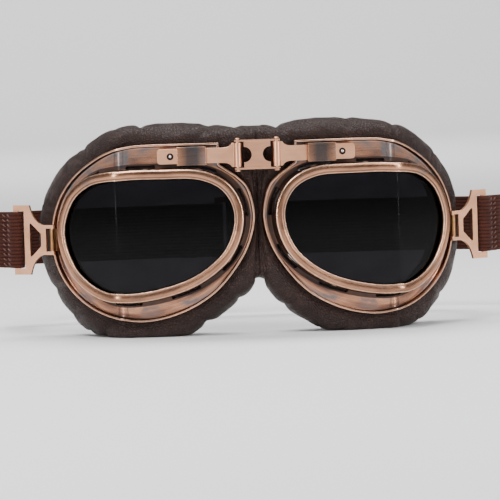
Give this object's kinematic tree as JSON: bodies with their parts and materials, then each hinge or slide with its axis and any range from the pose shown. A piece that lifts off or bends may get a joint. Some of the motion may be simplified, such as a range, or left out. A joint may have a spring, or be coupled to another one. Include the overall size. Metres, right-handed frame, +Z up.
{
  "type": "motorcycle goggles",
  "caption": "Vintage-style motorcycle goggles with split smoked lenses in copper frames, hinged sliding bridge, padded leather eye cushions and elastic head strap.",
  "frame": {"origin": "middle of the goggles at the resting flats under the two cushions, halfway along the depth of the whole object", "axes": "+X to the viewer's right, +Y back towards the wearer's head, +Z up"},
  "size_m": [0.2414, 0.1248, 0.0927],
  "materials": {
    "satin_copper": "satin rose-copper plate, fine brushing",
    "aged_copper": "brushed antique copper with grey-blue patina",
    "tab_brass": "dull rolled brass",
    "gasket_rubber": "matte black",
    "smoked_lens": "dark smoke, polished",
    "leather": "dark brown fine grain",
    "foam": "open-cell foam",
    "lining": "brushed knit",
    "webbing": "ribbed elastic webbing"
  },
  "bodies": {
    "bridge": {"bridge_link_plate": "satin_copper", "nose_gusset": "leather", "strap_slide": "satin_copper", "left_hinge_pin": "satin_copper", "left_strap": "webbing", "right_hinge_pin": "satin_copper", "right_strap": "webbing"},
    "left_arm": {"left_bridge_arm": "satin_copper", "left_stop_rivet": "satin_copper"},
    "left_frame": {"left_bridge_sleeve": "aged_copper", "left_frame_ring": "aged_copper", "left_lens_bezel": "aged_copper", "left_lens_gasket": "gasket_rubber", "left_inner_pane": "smoked_lens", "left_outer_pane": "smoked_lens", "left_cushion_cover": "leather", "left_foam_core": "foam", "left_face_lining": "lining", "left_bracket_knuckle": "tab_brass"},
    "left_bracket": {"left_strap_bracket": "satin_copper"},
    "right_arm": {"right_bridge_arm": "satin_copper", "right_stop_rivet": "satin_copper"},
    "right_frame": {"right_bridge_sleeve": "aged_copper", "right_frame_ring": "aged_copper", "right_lens_bezel": "aged_copper", "right_lens_gasket": "gasket_rubber", "right_inner_pane": "smoked_lens", "right_outer_pane": "smoked_lens", "right_cushion_cover": "leather", "right_foam_core": "foam", "right_face_lining": "lining", "right_bracket_knuckle": "tab_brass"},
    "right_bracket": {"right_strap_bracket": "satin_copper"}
  },
  "joints": [
    {"name": "left_arm_hinge", "type": "hinge", "parent": "bridge", "child": "left_arm", "pos_m": [-0.00858, -0.05805, 0.0796], "axis": [0, 0, -1], "range_deg": [-10, 8], "deforming": ["left_strap", "nose_gusset"]},
    {"name": "left_arm_slide", "type": "slide", "parent": "left_arm", "child": "left_frame", "axis": [-0.9877, 0.1564, 0], "range_m": [-0.0012, 0.0012], "deforming": ["left_strap", "nose_gusset"]},
    {"name": "left_bracket_hinge", "type": "hinge", "parent": "left_frame", "child": "left_bracket", "pos_m": [-0.08974, -0.02839, 0.0436], "axis": [0, 0, -1], "range_deg": [-40, 25], "deforming": ["left_strap"]},
    {"name": "right_arm_hinge", "type": "hinge", "parent": "bridge", "child": "right_arm", "pos_m": [0.00858, -0.05805, 0.0796], "axis": [0, 0, 1], "range_deg": [-10, 8], "deforming": ["right_strap", "nose_gusset"]},
    {"name": "right_arm_slide", "type": "slide", "parent": "right_arm", "child": "right_frame", "axis": [0.9877, 0.1564, 0], "range_m": [-0.0012, 0.0012], "deforming": ["right_strap", "nose_gusset"]},
    {"name": "right_bracket_hinge", "type": "hinge", "parent": "right_frame", "child": "right_bracket", "pos_m": [0.08974, -0.02839, 0.0436], "axis": [0, 0, 1], "range_deg": [-40, 25], "deforming": ["right_strap"]}
  ]
}
